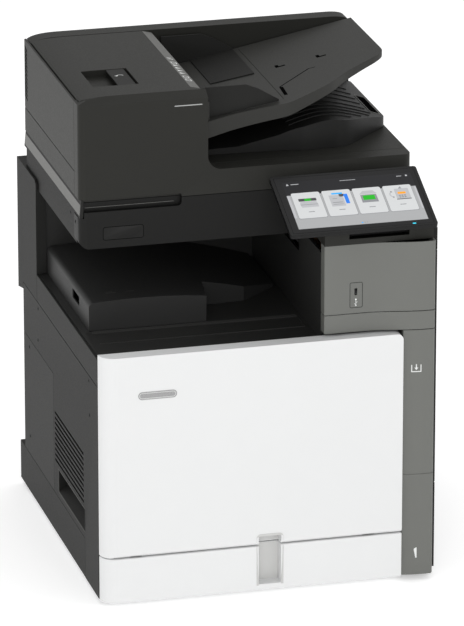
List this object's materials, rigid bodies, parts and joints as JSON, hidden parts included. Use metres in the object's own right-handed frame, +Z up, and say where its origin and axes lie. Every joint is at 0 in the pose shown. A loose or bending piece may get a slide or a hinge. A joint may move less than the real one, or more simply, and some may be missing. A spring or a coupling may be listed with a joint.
{
  "type": "photocopier",
  "caption": "Floor-standing A3 colour photocopier with a paper drawer, front door, in-body output bin, flatbed scanner lid with document feeder and tilting touch panel.",
  "frame": {"origin": "middle of the footprint, at the underside of the feet", "axes": "+Z up, +X to the machine's right as a user faces its front, +Y from the front door to the rear"},
  "size_m": [0.612, 0.655, 0.87],
  "materials": {
    "white_plastic": "fine satin moulded plastic",
    "bottle_plastic": "translucent white bottle plastic",
    "black_plastic": "fine-grained near-black moulded plastic",
    "charcoal_plastic": "grained charcoal moulded plastic",
    "grey_plastic": "satin mid-grey moulded plastic",
    "frame_steel": "zinc-plated sheet steel",
    "foot_rubber": "moulded rubber",
    "roller_rubber": "ground rubber",
    "heat_sleeve": "dark amber heat-proof sleeve",
    "belt_film": "glossy dark transfer film",
    "platen_glass": "clear float glass",
    "screen_glass": "glossy black touch screen",
    "pad_foam": "white foam-backed pressing sheet"
  },
  "bodies": {
    "chassis": {"waste_toner_bottle": "bottle_plastic", "power_inlet": "black_plastic", "panel_housing": "black_plastic", "output_bin": "black_plastic", "output_block": "black_plastic", "laser_unit": "black_plastic", "toner_cartridge_black": "black_plastic", "toner_cartridge_cyan": "black_plastic", "toner_cartridge_magenta": "black_plastic", "toner_cartridge_yellow": "black_plastic", "base_skirt": "charcoal_plastic", "left_side_panel": "charcoal_plastic", "side_rail": "charcoal_plastic", "left_column": "charcoal_plastic", "rear_cover": "charcoal_plastic", "rear_upper_cover": "charcoal_plastic", "right_side_cover": "charcoal_plastic", "scanner_base": "charcoal_plastic", "scanner_bezel": "charcoal_plastic", "column_cover": "grey_plastic", "trim_strip": "grey_plastic", "usb_panel": "grey_plastic", "frame_core": "frame_steel", "frame_left_wall": "frame_steel", "frame_right_wall": "frame_steel", "frame_drawer_shelf": "frame_steel", "fuser_frame": "frame_steel", "foot_front_left": "foot_rubber", "foot_front_right": "foot_rubber", "foot_rear_left": "foot_rubber", "foot_rear_right": "foot_rubber", "transfer_belt": "belt_film", "platen_glass": "platen_glass"},
    "front_door": {"front_door": "white_plastic"},
    "paper_drawer": {"drawer_front": "white_plastic", "drawer_tray": "black_plastic"},
    "lift_plate": {"drawer_lift_plate": "frame_steel"},
    "end_guide": {"drawer_end_guide": "charcoal_plastic"},
    "right_door": {"right_door": "charcoal_plastic"},
    "bypass_tray": {"bypass_tray": "charcoal_plastic"},
    "control_panel": {"panel_case": "black_plastic", "panel_screen": "screen_glass"},
    "carriage": {"scan_carriage": "black_plastic"},
    "heat_roller": {"fuser_heat_roller": "heat_sleeve"},
    "pressure_roller": {"fuser_pressure_roller": "roller_rubber"},
    "exit_roller": {"exit_roller": "roller_rubber"},
    "pickup_roller": {"pickup_roller": "roller_rubber"},
    "fan": {"fan_rotor": "black_plastic"},
    "lid": {"lid_plate": "black_plastic", "platen_pad": "pad_foam", "lid_front_cover": "black_plastic", "feeder_side_panel": "black_plastic", "feeder_chassis": "black_plastic", "feeder_output_tray": "black_plastic"},
    "feeder_roller": {"feeder_roller": "roller_rubber"},
    "feeder_cover": {"feeder_top_cover": "black_plastic"},
    "latch": {"feeder_latch": "charcoal_plastic"},
    "input_tray": {"input_tray": "black_plastic"},
    "front_guide": {"guide_front": "charcoal_plastic"},
    "rear_guide": {"guide_rear": "charcoal_plastic"}
  },
  "joints": [
    {"name": "lid_hinge", "type": "hinge", "parent": "chassis", "child": "lid", "pos_m": [-0.011, 0.2645, 0.69], "axis": [-1, 0, 0], "range_deg": [0, 60]},
    {"name": "front_door_hinge", "type": "hinge", "parent": "chassis", "child": "front_door", "pos_m": [-0.04, -0.3095, 0.1022], "axis": [1, 0, 0], "range_deg": [0, 90]},
    {"name": "drawer_slide", "type": "slide", "parent": "chassis", "child": "paper_drawer", "axis": [0, -1, 0], "range_m": [0, 0.42]},
    {"name": "lift_plate_hinge", "type": "hinge", "parent": "paper_drawer", "child": "lift_plate", "pos_m": [-0.156, -0.0225, 0.0212], "axis": [0, -1, 0], "range_deg": [0, 9]},
    {"name": "end_guide_slide", "type": "slide", "parent": "paper_drawer", "child": "end_guide", "axis": [1, 0, 0], "range_m": [-0.05, 0.035]},
    {"name": "right_door_hinge", "type": "hinge", "parent": "chassis", "child": "right_door", "pos_m": [0.2896, 0.2375, 0.38], "axis": [0, 0, 1], "range_deg": [0, 85]},
    {"name": "bypass_tray_hinge", "type": "hinge", "parent": "right_door", "child": "bypass_tray", "pos_m": [0.3007, -0.0025, 0.3053], "axis": [0, 1, 0], "range_deg": [0, 65]},
    {"name": "panel_tilt", "type": "hinge", "parent": "chassis", "child": "control_panel", "pos_m": [0.186, -0.2915, 0.641], "axis": [1, 0, 0], "range_deg": [-10, 40]},
    {"name": "carriage_slide", "type": "slide", "parent": "chassis", "child": "carriage", "axis": [1, 0, 0], "range_m": [0, 0.39]},
    {"name": "heat_roller_spin", "type": "hinge", "parent": "chassis", "child": "heat_roller", "pos_m": [0.165, 0.0025, 0.536], "axis": [0, 1, 0], "continuous": true},
    {"name": "pressure_roller_spin", "type": "hinge", "parent": "chassis", "child": "pressure_roller", "pos_m": [0.165, 0.0025, 0.498], "axis": [0, 1, 0], "continuous": true},
    {"name": "exit_roller_spin", "type": "hinge", "parent": "chassis", "child": "exit_roller", "pos_m": [0.0985, 0.0125, 0.576], "axis": [0, 1, 0], "continuous": true},
    {"name": "pickup_roller_spin", "type": "hinge", "parent": "chassis", "child": "pickup_roller", "pos_m": [0.208, -0.0175, 0.103], "axis": [0, 1, 0], "continuous": true},
    {"name": "fan_spin", "type": "hinge", "parent": "chassis", "child": "fan", "pos_m": [-0.284, -0.0655, 0.205], "axis": [1, 0, 0], "continuous": true},
    {"name": "feeder_roller_spin", "type": "hinge", "parent": "lid", "child": "feeder_roller", "pos_m": [-0.101, 0.0425, 0.817], "axis": [0, 1, 0], "continuous": true},
    {"name": "feeder_cover_hinge", "type": "hinge", "parent": "lid", "child": "feeder_cover", "pos_m": [-0.296, 0.0375, 0.861], "axis": [0, -1, 0], "range_deg": [0, 75]},
    {"name": "latch_hinge", "type": "hinge", "parent": "feeder_cover", "child": "latch", "pos_m": [-0.188, -0.0395, 0.8668], "axis": [0, 1, 0], "range_deg": [0, 22], "stiffness_Nm_per_rad": 0.05, "springref_deg": -11.46},
    {"name": "input_tray_hinge", "type": "hinge", "parent": "lid", "child": "input_tray", "pos_m": [-0.08, 0.0425, 0.838], "axis": [0, -1, 0], "range_deg": [0, 18]},
    {"name": "rear_guide_slide", "type": "slide", "parent": "input_tray", "child": "rear_guide", "axis": [0, -1, 0], "range_m": [0, 0.075]},
    {"name": "front_guide_slide", "type": "slide", "parent": "input_tray", "child": "front_guide", "axis": [0, 1, 0], "range_m": [0, 0.075]}
  ],
  "couplings": [
    {"joint": "pressure_roller_spin", "follows": "heat_roller_spin", "ratio": -1},
    {"joint": "front_guide_slide", "follows": "rear_guide_slide", "ratio": 1}
  ]
}
